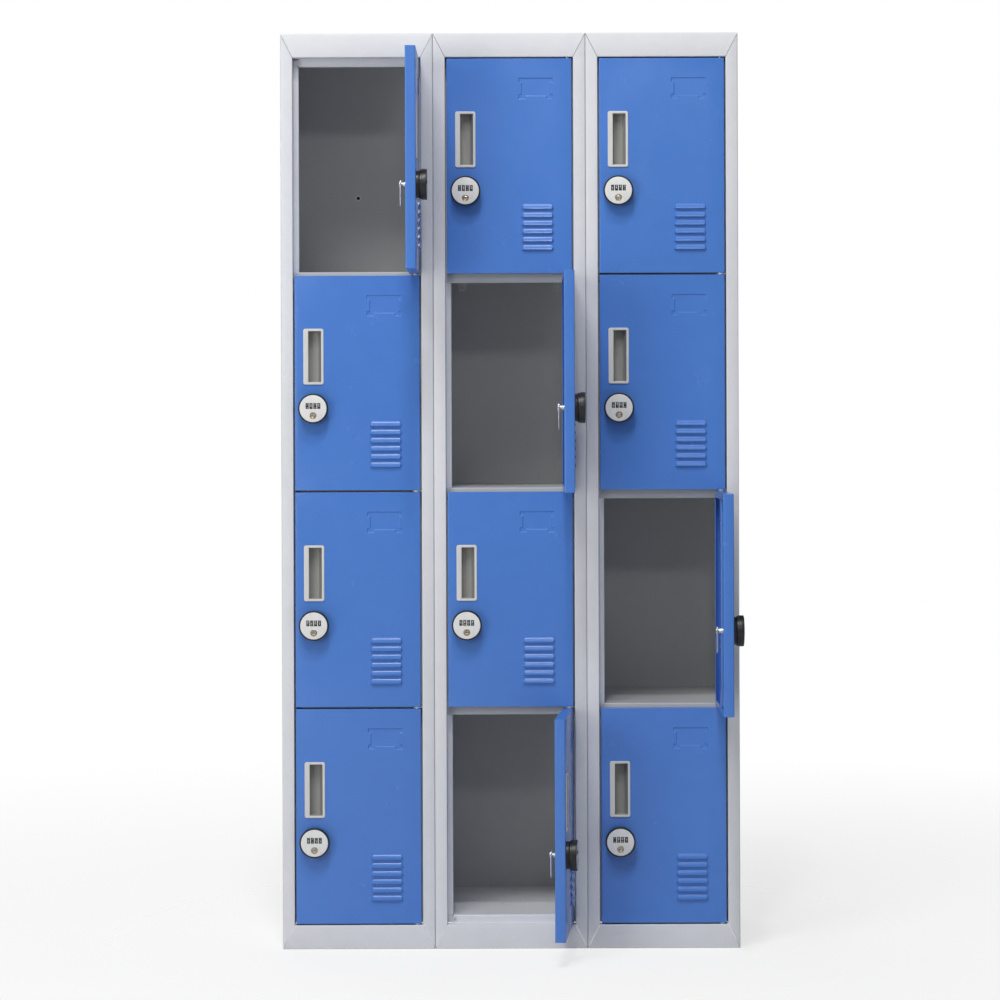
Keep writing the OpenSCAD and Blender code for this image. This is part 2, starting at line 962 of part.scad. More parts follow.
// Recess pressed in for a card, from y = front back to its floor, grown by grow
module card_recess(grow, front) {
    tab = 2 * (card_reach - grow);
    translate([door_w - card_inset - card_w / 2, 0, door_h - card_drop - card_h / 2])
        difference() {
            frustum(card_w + 2 * grow, card_h + 2 * grow, 1, front, card_depth);
            for (side = [-1, 1])
                translate([side * card_w / 2, 0, 0])
                    frustum(tab, card_side - 2 * grow, -1, front - EPS, card_depth + EPS);
            translate([0, 0, -card_h / 2])
                frustum(card_bar - 2 * grow, tab, -1, front - EPS, card_depth + EPS);
        }
}

module door_panel(c, r) {
    path = [
        [door_lip, door_t],
        [0, door_t],
        [0, 0],
        [door_w, 0],
        [door_w, door_t],
        [door_w - door_lip, door_t]
    ];
    color(DOOR_BLUE)
        at_door(c, r) {
            difference() {
                union() {
                    linear_extrude(door_h)
                        polygon(sheet(path, door_sheet));
                    door_end(path);
                    translate([0, 0, door_h])
                        mirror([0, 0, 1])
                            door_end(path);
                    louvre_hoods();
                    translate([0, door_sheet, 0])
                        card_recess(door_sheet * tan(22.5), -EPS);
                }
                louvre_voids();
                card_recess(0, -OUT);
                translate([pull_x, 0, pull_z])
                    plate(-OUT, door_sheet + OUT)
                        square([cut_w, cut_h]);
                translate([lock_inset, 0, lock_z])
                    rod(-OUT, door_sheet + OUT, barrel_r + fit / 2);
                translate([door_w - hinge_inset, hinge_inset, -OUT])
                    cylinder(r = pin_r + pin_clear, h = door_h + 2 * OUT);
            }
            stiffener();
        }
}

// Closed bottom of the pan, with its inner lip
module door_end(path) {
    linear_extrude(door_sheet)
        polygon(face(path, 0, door_sheet));
    translate([door_lip + fit, door_t - door_sheet, 0])
        cube([door_w - 2 * (door_lip + fit), door_sheet, door_end_lip]);
}

// Hat channel up the inside of the door
module stiffener() {
    foot = door_sheet;
    crown = door_t - 2 * door_sheet;
    path = [
        [stiff_x - stiff_foot, foot],
        [stiff_x, foot],
        [stiff_x, crown],
        [stiff_x + stiff_w, crown],
        [stiff_x + stiff_w, foot],
        [stiff_x + stiff_w + stiff_foot, foot]
    ];
    translate([0, 0, door_sheet + fit])
        linear_extrude(door_h - 2 * (door_sheet + fit))
            polygon(sheet(path, door_sheet));
}

// ---- Pull and rose ------------------------------------------------------------

module pull() {
    hollow_l = pull_wall + fit;
    hollow_r = cut_w - pull_wall - fit;
    translate([pull_x, 0, pull_z])
        difference() {
            union() {
                translate([-pull_border, 0, -pull_border])
                    plate(-pull_flange, 0)
                        rounded(pull_w, pull_h, pull_corner);
                translate([fit, 0, fit])
                    plate(-EPS, pull_depth)
                        square([cut_w - 2 * fit, cut_h - 2 * fit]);
            }
            translate([0, 0, hollow_l])
                linear_extrude(cut_h - 2 * hollow_l)
                    polygon([
                        [pull_lip, -pull_flange - OUT],
                        [pull_lip, pull_lip_t - pull_flange],
                        [hollow_l, pull_lip_t - pull_flange],
                        [hollow_l, cup_back],
                        [hollow_r - pull_slope, cup_back],
                        [hollow_r, -pull_flange],
                        [hollow_r, -pull_flange - OUT]
                    ]);
        }
}

module lock_rose() {
    difference() {
        union() {
            rod(-rose_t, 0, rose_r);
            rod(-EPS, barrel_l, barrel_r);
        }
        rod(-rose_t - OUT, barrel_l + OUT, spindle_r + pin_clear);
    }
}

module rose_nut() {
    difference() {
        hex_rod(door_sheet, door_sheet + nut_t, nut_r);
        rod(0, door_sheet + nut_t + OUT, barrel_r + pin_clear);
    }
}

module door_fittings(c, r) {
    at_door(c, r) {
        color(PULL_GREY)
            pull();
        translate([lock_inset, 0, lock_z]) {
            color(LOCK_BLACK)
                lock_rose();
            color(ZINC)
                rose_nut();
        }
    }
}

// ---- Lock knob ----------------------------------------------------------------

module at_dials() {
    for (i = [0 : dials - 1])
        translate([(i - (dials - 1) / 2) * dial_pitch, dial_y, dial_rise])
            children();
}

module knob_body() {
    difference() {
        union() {
            rod(knob_back - neck_t, knob_back, neck_r);
            plate(knob_front, knob_back - neck_t + EPS)
                difference() {
                    circle(knob_r);
                    for (i = [0 : grooves - 1])
                        rotate((i - (grooves - 1) / 2) * groove_step)
                            translate([-groove / 2, knob_r - groove])
                                square([groove, 2 * groove]);
                }
            rod(knob_back - EPS, cam_y + cam_t, spindle_r);
        }
        rod(knob_front - OUT, face_back + seat_gap, face_r + fit / 2);
        translate([-case_w / 2, face_back, dial_rise - case_h / 2])
            cube([case_w, case_back - face_back, case_h]);
        axle(seat_gap);
        translate([0, 0, -key_drop])
            rod(face_front - OUT, face_front + key_l + seat_gap, key_r + seat_gap);
    }
}

module face_plate() {
    difference() {
        rod(face_front, face_back, face_r);
        at_dials()
            translate([-window_w / 2, -dial_y + face_front - OUT, -window_h / 2])
                cube([window_w, face_t + 2 * OUT, window_h]);
        translate([0, 0, -key_drop])
            rod(face_front - OUT, face_back + OUT, key_r + seat_gap);
    }
}

// Axle of the dials, grown all round by gap
module axle(gap) {
    reach = case_w / 2 + axle_seat + gap;
    translate([-reach, dial_y, dial_rise])
        rotate([0, 90, 0])
            cylinder(r = axle_r + gap, h = 2 * reach);
}

module key_cylinder() {
    translate([0, 0, -key_drop])
        difference() {
            rod(face_front, face_front + key_l, key_r);
            plate(face_front - OUT, face_front + key_l / 2)
                translate([-key_slot_l / 2, -key_slot_w / 2])
                    square([key_slot_l, key_slot_w]);
        }
}

// Cam on the end of the spindle, hanging down when the lock is open
module cam() {
    difference() {
        plate(cam_y, cam_y + cam_t)
            union() {
                circle(cam_w / 2);
                translate([0, -cam_reach + cam_w / 2])
                    circle(cam_w / 2);
                translate([-cam_w / 2, -cam_reach + cam_w / 2])
                    square([cam_w, cam_reach - cam_w / 2]);
            }
        rod(cam_y - OUT, cam_y + cam_t + OUT, spindle_r + seat_gap);
    }
}

module cam_screw() {
    head_y = cam_y + cam_t + seat_gap;
    rod(head_y, head_y + screw_head, spindle_r + cam_screw_rim);
}

module lock_knob(c, r) {
    at_door(c, r)
        translate([lock_inset, 0, lock_z]) {
            color(LOCK_BLACK)
                knob_body();
            color(FACE_WHITE)
                face_plate();
            color(ZINC) {
                axle(0);
                cam();
                cam_screw();
            }
            color(BRASS)
                key_cylinder();
        }
}

// Edge of a dial, with a notch between each place and the next
function dial_edge() =
    let (half = 180 / dial_places, flank = half * 0.25)
    [for (i = [0 : dial_places - 1])
        each [for (k = [[0, dial_r - dial_notch], [flank, dial_r], [half, dial_r],
                        [2 * half - flank, dial_r]])
            turned([k[1], 0], 2 * half * i + k[0])]];

module dial_wheels(c, r) {
    color(LOCK_BLACK)
        at_door(c, r)
            translate([lock_inset, 0, lock_z])
                at_dials()
                    rotate([0, 90, 0])
                        translate([0, 0, -dial_t / 2])
                            linear_extrude(dial_t)
                                difference() {
                                    polygon(dial_edge());
                                    circle(axle_r + pin_clear);
                                }
}

// ---- Nodes --------------------------------------------------------------------

side_panels_left();
side_panels_right();
top_panels();
base_panels();
back_panels();
shelves();
shelf_clips();
clip_screws();
bay_bolts();
hinge_plates();
hinge_pins();
frame_rivets();
for (c = [0 : BAYS - 1], r = [0 : TIERS - 1]) {
    door_panel(c, r);
    door_fittings(c, r);
    lock_knob(c, r);
    dial_wheels(c, r);
}
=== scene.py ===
import json
import math
import random

import bmesh
import bpy
from mathutils import Matrix, Vector

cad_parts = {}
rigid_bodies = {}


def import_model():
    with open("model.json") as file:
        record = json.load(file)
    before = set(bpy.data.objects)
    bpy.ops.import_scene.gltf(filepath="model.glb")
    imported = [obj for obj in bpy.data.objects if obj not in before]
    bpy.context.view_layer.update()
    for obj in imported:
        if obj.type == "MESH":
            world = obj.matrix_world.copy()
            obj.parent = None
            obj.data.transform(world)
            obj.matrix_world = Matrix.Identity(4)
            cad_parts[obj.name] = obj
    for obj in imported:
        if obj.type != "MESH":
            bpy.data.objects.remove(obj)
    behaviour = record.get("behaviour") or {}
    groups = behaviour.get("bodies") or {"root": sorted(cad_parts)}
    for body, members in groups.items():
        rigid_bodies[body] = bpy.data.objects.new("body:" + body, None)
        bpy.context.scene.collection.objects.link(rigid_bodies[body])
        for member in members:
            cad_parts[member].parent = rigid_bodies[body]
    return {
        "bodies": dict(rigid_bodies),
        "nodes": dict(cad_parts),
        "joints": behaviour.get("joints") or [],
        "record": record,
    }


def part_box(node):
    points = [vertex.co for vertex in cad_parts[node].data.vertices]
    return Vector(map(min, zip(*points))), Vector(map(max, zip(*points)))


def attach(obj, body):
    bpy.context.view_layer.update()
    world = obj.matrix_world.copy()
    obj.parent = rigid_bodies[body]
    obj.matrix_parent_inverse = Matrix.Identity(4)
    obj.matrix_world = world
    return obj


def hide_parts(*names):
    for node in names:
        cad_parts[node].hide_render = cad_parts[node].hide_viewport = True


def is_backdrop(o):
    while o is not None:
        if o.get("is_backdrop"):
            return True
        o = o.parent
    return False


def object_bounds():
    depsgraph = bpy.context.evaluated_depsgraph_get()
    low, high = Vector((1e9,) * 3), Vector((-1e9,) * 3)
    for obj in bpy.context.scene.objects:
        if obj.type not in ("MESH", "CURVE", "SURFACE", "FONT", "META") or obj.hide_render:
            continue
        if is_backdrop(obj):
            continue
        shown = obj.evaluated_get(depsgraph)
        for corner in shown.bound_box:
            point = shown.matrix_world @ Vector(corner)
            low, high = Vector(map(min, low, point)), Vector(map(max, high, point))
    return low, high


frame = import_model()
BOUNDS_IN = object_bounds()
NODES = frame["nodes"]
JOINTS = {joint["name"]: joint for joint in frame["joints"]}
RECORD = frame["record"]
TAGS = sorted(name[5:] for name in frame["bodies"] if name.startswith("door_"))
MM = 0.001
SHARP = math.radians(34)
NOISE_SPAN = (0.3, 0.7)
random.seed(7)


def linked(thing):
    """Puts an object into the scene."""
    bpy.context.scene.collection.objects.link(thing)
    return thing


# ---------------------------------------------------------------- shader graphs

class Graph:
    """A material's node tree, with its object coordinates and short ways to add nodes."""

    def __init__(self, name):
        self.mat = bpy.data.materials.new(name)
        self.mat.use_nodes = True
        self.tree = self.mat.node_tree
        self.tree.nodes.clear()
        self.out = self.add("ShaderNodeOutputMaterial")
        self.coords = self.add("ShaderNodeTexCoord").outputs["Object"]

    def add(self, kind, inputs=None, **props):
        node = self.tree.nodes.new(kind)
        for key, value in props.items():
            setattr(node, key, value)
        for key, value in (inputs or {}).items():
            self.put(node.inputs[key], value)
        return node

    def put(self, socket, value):
        if isinstance(value, bpy.types.NodeSocket):
            self.tree.links.new(value, socket)
        else:
            socket.default_value = value

    def noise(self, scale, detail=2.0, rough=0.5, vector=None):
        node = self.add("ShaderNodeTexNoise", {
            "Vector": vector or self.coords,
            "Scale": scale,
            "Detail": detail,
            "Roughness": rough,
        })
        return node.outputs["Fac"]

    def ramp(self, value, low, high, out_low=0.0, out_high=1.0):
        node = self.add("ShaderNodeMapRange", {
            "Value": value,
            "From Min": low,
            "From Max": high,
            "To Min": out_low,
            "To Max": out_high,
        })
        return node.outputs["Result"]

    def swing(self, noise, low, high):
        """The usual span of a noise, stretched to run from low to high."""
        return self.ramp(noise, *NOISE_SPAN, low, high)

    def math(self, operation, a, b=0.0):
        node = self.add("ShaderNodeMath", {0: a, 1: b}, operation=operation)
        return node.outputs[0]

    def mix(self, factor, a, b):
        node = self.add("ShaderNodeMix", {"Factor": factor}, data_type="RGBA")
        self.put(node.inputs[6], a)
        self.put(node.inputs[7], b)
        return node.outputs[2]

    def tinted(self, colour, tone):
        """The colour made lighter or darker by tone."""
        node = self.add("ShaderNodeVectorMath", {0: colour, "Scale": tone}, operation="SCALE")
        return node.outputs[0]

    def true_normal(self):
        return self.add("ShaderNodeNewGeometry").outputs["True Normal"]

    def split(self, vector=None):
        return self.add("ShaderNodeSeparateXYZ", {0: vector or self.coords}).outputs

    def stretched(self, x, y, z):
        node = self.add("ShaderNodeMapping", {"Vector": self.coords, "Scale": (x, y, z)})
        return node.outputs["Vector"]

    def bump(self, height, distance, strength=1.0, normal=None):
        node = self.add("ShaderNodeBump", {
            "Height": height,
            "Distance": distance,
            "Strength": strength,
        })
        if normal:
            self.put(node.inputs["Normal"], normal)
        return node.outputs["Normal"]

    def rounded_edges(self, radius):
        node = self.add("ShaderNodeBevel", {"Radius": radius}, samples=6)
        return node.outputs["Normal"]

    def edge_mask(self, rounded):
        """Near 1 along the corners that rounded softens, 0 on flats."""
        both = {0: rounded, 1: self.true_normal()}
        dot = self.add("ShaderNodeVectorMath", both, operation="DOT_PRODUCT")
        return self.ramp(dot.outputs["Value"], 0.995, 0.80)

    def surface(self, inputs):
        shader = self.add("ShaderNodeBsdfPrincipled", inputs)
        self.put(self.out.inputs["Surface"], shader.outputs["BSDF"])
        return self.mat


def grey(value):
    return (value, value, value, 1.0)


def scaled(colour, factor):
    return tuple(min(1.0, channel * factor) for channel in colour[:3]) + (1.0,)


def powder_coat(name, colour, roughness, edge, rings=(), rear=None):
    """Baked powder paint: orange-peel skin, faint mottling, paler on the corners, partly from
    thinner paint and partly as a painted highlight.

    rings are pale bands around holes: (centre, inner radius, outer radius) in metres.
    Faces that look straight back take the colour rear, where it is given.
    """
    g = Graph(name)
    broad = g.swing(g.noise(2.2, 1.0), 0.985, 1.015)
    cloud = g.swing(g.noise(38.0, 3.0), 0.985, 1.015)
    fleck = g.swing(g.noise(2600.0, 1.0), 0.97, 1.03)
    tone = g.math("MULTIPLY", g.math("MULTIPLY", broad, cloud), fleck)
    paint = colour[:3]
    # where rear is given, colour is a darker painted shade and rear is the paint's own colour,
    # kept on faces that look back
    if rear:
        facing = g.split(g.true_normal())["Y"]
        paint = g.mix(g.ramp(facing, 0.4, 0.6), colour, rear)
    base = g.tinted(paint, tone)
    rounded = g.rounded_edges(0.0006)
    edges = g.edge_mask(rounded)
    # Corners paler by the factor edge: partly thinner paint, partly a painted highlight, strongest
    # on the blue doors.
    base = g.mix(g.math("MULTIPLY", edges, 0.7), base, scaled(colour, edge))
    height = g.split()["Z"]
    scuff_noise = g.ramp(g.noise(0.9, 6.0, 0.75, g.stretched(26.0, 26.0, 60.0)), 0.60, 0.72)
    scuffs = g.math("MULTIPLY", scuff_noise, g.ramp(height, 0.16, 0.02))
    base = g.mix(g.math("MULTIPLY", scuffs, 0.22), base, scaled(colour, 0.62))
    for centre, inner, outer in rings:
        offset = g.add("ShaderNodeVectorMath", {0: g.coords, 1: centre}, operation="DISTANCE")
        reach = offset.outputs["Value"]
        past_inner = g.ramp(reach, inner, inner + 0.0004)
        before_outer = g.ramp(reach, outer, outer - 0.0006)
        band = g.math("MULTIPLY", past_inner, before_outer)
        base = g.mix(g.math("MULTIPLY", band, 0.8), base, scaled(colour, 1.5))
    gloss = g.swing(g.noise(11.0, 4.0, 0.6), roughness - 0.04, roughness + 0.05)
    peel = g.bump(g.noise(520.0, 2.0, 0.45), 0.00004, 0.55, rounded)
    grain = g.bump(g.noise(1900.0, 1.0), 0.00001, 0.4, peel)
    return g.surface({
        "Base Color": base,
        "Roughness": gloss,
        "Normal": grain,
        "IOR": 1.5,
    })


def moulded(name, colour, roughness, grain=0.00003, scale=1500.0, edge=1.3, radius=0.0003):
    """Moulded plastic: fine spark grain, slight flow marks, glossier on the corners, where its
    colour is also paler as a painted highlight.
    """
    g = Graph(name)
    flow = g.swing(g.noise(1.0, 3.0, 0.6, g.stretched(60.0, 60.0, 22.0)), 0.96, 1.04)
    fleck = g.swing(g.noise(scale * 1.7, 1.0), 0.95, 1.05)
    tone = g.math("MULTIPLY", flow, fleck)
    base = g.tinted(colour[:3], tone)
    rounded = g.rounded_edges(radius)
    edges = g.edge_mask(rounded)
    # Corners paler by the factor edge: a painted highlight, strongest on the black lock and dials.
    base = g.mix(g.math("MULTIPLY", edges, 0.55), base, scaled(colour, edge))
    gloss = g.swing(g.noise(45.0, 3.0), roughness - 0.05, roughness + 0.06)
    gloss = g.math("SUBTRACT", gloss, g.math("MULTIPLY", edges, 0.08))
    skin = g.bump(g.noise(scale, 2.0), grain, 0.5, rounded)
    return g.surface({
        "Base Color": base,
        "Roughness": gloss,
        "Normal": skin,
        "IOR": 1.47,
    })


def metal(name, colour, roughness, stretch=(400.0, 400.0, 3000.0), clouds=0.07, radius=0.0002):
    """Plated or turned metal: drawn grain, cloudy plating, brighter rubbed corners."""
    g = Graph(name)
    drawn = g.noise(1.0, 3.0, 0.6, g.stretched(*stretch))
    cloud = g.swing(g.noise(120.0, 4.0, 0.6), 1.0 - clouds, 1.0 + clouds)
    streak = g.swing(drawn, 0.94, 1.05)
    tone = g.math("MULTIPLY", cloud, streak)
    base = g.tinted(colour[:3], tone)
    rounded = g.rounded_edges(radius)
    edges = g.edge_mask(rounded)
    base = g.mix(g.math("MULTIPLY", edges, 0.5), base, scaled(colour, 1.25))
    gloss = g.swing(g.noise(240.0, 4.0, 0.6), roughness - 0.06, roughness + 0.08)
    skin = g.bump(drawn, 0.00001, 0.4, rounded)
    return g.surface({
        "Base Color": base,
        "Metallic": 1.0,
        "Roughness": gloss,
        "Normal": skin,
    })


HOLE_RING = (0.0034, 0.0062)
WALL_HOLES = [
    (tuple(mount["pos_m"]), *HOLE_RING)
    for mount in RECORD["mounts"]
    if mount["name"].startswith("wall_hole")
]
CARCASS = (0.735, 0.745, 0.780, 1.0)
# A darker copy of the carcass grey: painted shade for the dim insides of the compartments.
INSIDE_PAINTED_SHADE = (0.490, 0.500, 0.505, 1.0)
BLUE = (0.080, 0.222, 0.650, 1.0)
WARM_GREY = (0.700, 0.690, 0.672, 1.0)
# A darker copy of the pull's warm grey: painted shade for the inside of its cup.
CUP_PAINTED_SHADE = (0.270, 0.270, 0.255, 1.0)
BLACK = (0.016, 0.016, 0.018, 1.0)
DIAL_BLACK = (0.020, 0.020, 0.022, 1.0)
FACE_WHITE = (0.800, 0.800, 0.790, 1.0)
DIGIT_WHITE = (0.780, 0.780, 0.760, 1.0)
ZINC = (0.660, 0.670, 0.690, 1.0)
BRASS = (0.600, 0.420, 0.170, 1.0)
FINE = 0.00001
MATERIALS = {
    "carcass": powder_coat("carcass_paint", CARCASS, roughness=0.40, edge=1.12),
    # The back panels and shelves take this painted shade; faces that look back out of the cabinet
    # keep the carcass grey.
    "inside": powder_coat(
        "inside_paint", INSIDE_PAINTED_SHADE, roughness=0.46, edge=1.15, rings=WALL_HOLES, rear=CARCASS,
    ),
    "door": powder_coat("door_paint", BLUE, roughness=0.23, edge=1.75),
    "pull": moulded("pull_plastic", WARM_GREY, 0.46, radius=0.0004),
    # pull_cup is painted shade: the pull's plastic darkened for its deep cup.
    "pull_cup": moulded("pull_cup_plastic", CUP_PAINTED_SHADE, 0.42, radius=0.0004),
    "lock": moulded("lock_plastic", BLACK, 0.38, edge=2.4),
    "lock_face": moulded("face_plastic", FACE_WHITE, 0.30, grain=FINE, scale=900.0, edge=1.1),
    "dial": moulded("dial_plastic", DIAL_BLACK, 0.34, grain=FINE, edge=2.4),
    "digit": moulded("digit_print", DIGIT_WHITE, 0.50, grain=FINE, scale=2200.0, edge=1.05),
    "zinc": metal("zinc_plate", ZINC, 0.30),
    "brass": metal("turned_brass", BRASS, 0.28, stretch=(900.0, 900.0, 900.0), clouds=0.05),
}


# ------------------------------------------------------------- CAD pieces kept

WELD = 0.000002


def smoothing_group():
    """Rejoins the vertices that the file splits, and shades the folds smooth up to SHARP."""
    tree = bpy.data.node_groups.new("smooth_folds", "GeometryNodeTree")
    tree.is_modifier = True
    tree.interface.new_socket("Geometry", in_out="INPUT", socket_type="NodeSocketGeometry")
    tree.interface.new_socket("Geometry", in_out="OUTPUT", socket_type="NodeSocketGeometry")
    add = tree.nodes.new
    start, end = add("NodeGroupInput"), add("NodeGroupOutput")
    drop = add("GeometryNodeRemoveAttribute")
    drop.inputs["Name"].default_value = "custom_normal"
    merge = add("GeometryNodeMergeByDistance")
    merge.inputs["Distance"].default_value = WELD
    faces = add("GeometryNodeSetShadeSmooth")
    faces.domain = "FACE"
    faces.inputs["Shade Smooth"].default_value = True
    edges = add("GeometryNodeSetShadeSmooth")
    edges.domain = "EDGE"
    angle = add("GeometryNodeInputMeshEdgeAngle")
    gentle = add("FunctionNodeCompare")
    gentle.data_type = "FLOAT"
    gentle.operation = "LESS_THAN"
    gentle.inputs["B"].default_value = SHARP
    link = tree.links.new
    link(start.outputs[0], drop.inputs["Geometry"])
    link(drop.outputs["Geometry"], merge.inputs["Geometry"])
    link(merge.outputs["Geometry"], faces.inputs["Geometry"])
    link(faces.outputs["Geometry"], edges.inputs["Geometry"])
    link(angle.outputs["Unsigned Angle"], gentle.inputs["A"])
    link(gentle.outputs["Result"], edges.inputs["Shade Smooth"])
    link(edges.outputs["Geometry"], end.inputs[0])
    return tree


SMOOTH_FOLDS = smoothing_group()
SLOT_OF = {part["node"]: part["material_slot"] for part in RECORD["subparts"]}

for node_name, node_object in NODES.items():
    node_object.data.materials.clear()
    node_object.data.materials.append(MATERIALS[SLOT_OF[node_name]])
    smooth = node_object.modifiers.new("smooth_folds", "NODES")
    smooth.node_group = SMOOTH_FOLDS


# --------------------------------------------------------------- mesh building

ON_AXIS = 1e-6


def new_mesh(name, points, faces):
    """A mesh from points in millimetres, smooth up to SHARP, with its faces turned outwards."""
    mesh = bpy.data.meshes.new(name)
    mesh.from_pydata([Vector(point) * MM for point in points], [], faces)
    work = bmesh.new()
    work.from_mesh(mesh)
    bmesh.ops.recalc_face_normals(work, faces=work.faces)
    work.to_mesh(mesh)
    work.free()
    return finished(mesh)


def finished(mesh):
    """Checks a mesh and shades it smooth up to SHARP."""
    mesh.validate()
    mesh.shade_smooth()
    mesh.set_sharp_from_angle(angle=SHARP)
    return mesh


def filleted(corners, steps=4, closed=False):
    """Points of a polyline whose corners (x, y, radius) are rounded."""
    points = []
    last = len(corners) - 1
    for i, (x, y, radius) in enumerate(corners):
        if radius <= 0 or (not closed and i in (0, last)):
            points.append((x, y))
            continue
        here = Vector((x, y))
        to_a = Vector(corners[i - 1][:2]) - here
        to_b = Vector(corners[(i + 1) % len(corners)][:2]) - here
        half = to_a.angle(to_b) / 2
        cut = radius / math.tan(half)
        middle = (to_a.normalized() + to_b.normalized()).normalized()
        centre = here + middle * (radius / math.sin(half))
        a = here + to_a.normalized() * cut - centre
        b = here + to_b.normalized() * cut - centre
        turn = a.angle_signed(b)
        for step in range(steps + 1):
            around = -turn * step / steps
            cos, sin = math.cos(around), math.sin(around)
            points.append((
                centre.x + a.x * cos - a.y * sin,
                centre.y + a.x * sin + a.y * cos,
            ))
    return points


def lathe(name, profile, steps=96, centre=(0.0, 0.0)):
    """Turns (radius, y) points around the Y line through centre (x, z).

    A profile that starts and ends on the axis makes a closed body.
    """
    points, faces, rings = [], [], []
    for radius, y in profile:
        if radius < ON_AXIS:
            rings.append([len(points)])
            points.append((centre[0], y, centre[1]))
            continue
        rings.append(list(range(len(points), len(points) + steps)))
        for i in range(steps):
            around = 2 * math.pi * i / steps
            points.append((
                centre[0] + radius * math.cos(around),
                y,
                centre[1] + radius * math.sin(around),
            ))
    for a, b in zip(rings, rings[1:]):
        bridge(faces, a, b, True)
    return new_mesh(name, points, faces)


def bridge(faces, a, b, closed):
    """Faces between two rows of point numbers; a row of one is a pole."""
    count = max(len(a), len(b))
    for i in range(count if closed else count - 1):
        j = (i + 1) % count
        if len(a) == 1:
            faces.append((a[0], b[i], b[j]))
        elif len(b) == 1:
            faces.append((a[i], b[0], a[j]))
        else:
            faces.append((a[i], b[i], b[j], a[j]))


def loft(name, rows):
    """Skins closed rows of points that all have the same length, and closes both ends."""
    points, faces, numbers = [], [], []
    for row in rows:
        numbers.append(list(range(len(points), len(points) + len(row))))
        points.extend(row)
    for a, b in zip(numbers, numbers[1:]):
        bridge(faces, a, b, True)
    faces.append(tuple(numbers[0]))
    faces.append(tuple(numbers[-1]))
    return new_mesh(name, points, faces)


def slab(name, outline, y0, y1, rounding=0.3, steps=2):
    """An outline in x and z (anticlockwise, convex) made solid from y0 to y1, its rims rounded."""
    rows = []
    for end, way in ((y0, 1), (y1, -1)):
        part = []
        for step in range(steps + 1):
            around = math.pi / 2 * step / steps
            inset = rounding * (1 - math.sin(around))
            part.append([
                (x, end + way * rounding * (1 - math.cos(around)), z)
                for x, z in inset_outline(outline, inset)
            ])
        rows.extend(part if way == 1 else reversed(part))
    return loft(name, rows)


def inset_outline(outline, inset):
    """The outline moved inwards by inset."""
    count = len(outline)
    moved = []
    for i in range(count):
        before = Vector(outline[i - 1])
        here = Vector(outline[i])
        after = Vector(outline[(i + 1) % count])
        a, b = (here - before).normalized(), (after - here).normalized()
        normal = Vector((-(a + b).y, (a + b).x)).normalized()
        lean = max(0.5, normal.dot(Vector((-a.y, a.x))))
        moved.append(tuple(here + normal * inset / lean))
    return moved


def rectangle(x0, x1, z0, z1, radius, steps=4):
    corners = [(x0, z0, radius), (x1, z0, radius), (x1, z1, radius), (x0, z1, radius)]
    return filleted(corners, steps, closed=True)


def ellipse_arc(cx, cz, rx, rz, start, end, steps=16):
    points = []
    for i in range(steps + 1):
        around = math.radians(start + (end - start) * i / steps)
        points.append((cx + rx * math.cos(around), cz + rz * math.sin(around)))
    return points


def joined(name, meshes):
    """Several meshes as one."""
    work = bmesh.new()
    for mesh in meshes:
        work.from_mesh(mesh)
    whole = bpy.data.meshes.new(name)
    work.to_mesh(whole)
    work.free()
    return finished(whole)


def cut(name, mesh, cutters):
    """The mesh with the cutters taken away."""
    body = linked(bpy.data.objects.new(name + "_body", mesh))
    tools = []
    for cutter in cutters:
        tool = linked(bpy.data.objects.new(name + "_tool", cutter))
        tools.append(tool)
        modifier = body.modifiers.new("cut", "BOOLEAN")
        modifier.operation = "DIFFERENCE"
        modifier.solver = "EXACT"
        modifier.object = tool
    bpy.context.view_layer.update()
    graph = bpy.context.evaluated_depsgraph_get()
    result = bpy.data.meshes.new_from_object(body.evaluated_get(graph))
    result.name = name
    for item in [body, *tools]:
        bpy.data.objects.remove(item)
    return finished(result)


# ------------------------------------- shapes of one lock and pull, in millimetres
# x runs along the door, y into the door from its front, z up, from the lock's centre

PULL_RISE = 102.0
CUP_START = 1.5
ROSE_R, ROSE_FRONT = 26.5, -6.5
BARREL_R, BARREL_END = 12.0, 16.0
NUT_R, NUT_BORE_R = 18.0, 12.2
NUT_START, NUT_END = 1.0, 6.0
GRIP_R, GRIP_FRONT = 29.5, -20.5
COLLAR_R, COLLAR_FRONT, COLLAR_BACK = 28.5, -10.8, -6.8
GROOVES, GROOVE_DEGREES = 9, 9
POCKET_FLOOR = -9.2
FACE_R, FACE_FRONT, FACE_BACK = 26.5, -20.3, -19.5
DIALS = 4
DIAL_RISE = 5.0
DIAL_Y = -15.4
DIAL_R = 5.7
DIAL_T = 5.4
DIAL_PITCH = 7.6
DIAL_STEPS = 10
DIAL_BORE_R, AXLE_R, AXLE_HALF = 1.1, 0.98, 17.7
KEY_Z = -14.0
KEY_BORE_R, KEY_HOLE_R, KEY_RING_R = 6.9, 6.8, 6.75
KEY_PLUG_R, KEY_SEAT_R = 4.4, 4.5
SPINDLE_R = 5.0
CAM_HALF, CAM_TOP, CAM_TIP = 8.5, 8.5, -42.0
CAM_START, CAM_END = 28.4, 30.9
SCREW_START, SCREW_END = 30.95, 32.95
BEFORE_GRIP = -23.0
BEFORE_FACE, BEHIND_FACE = -22.0, -18.0


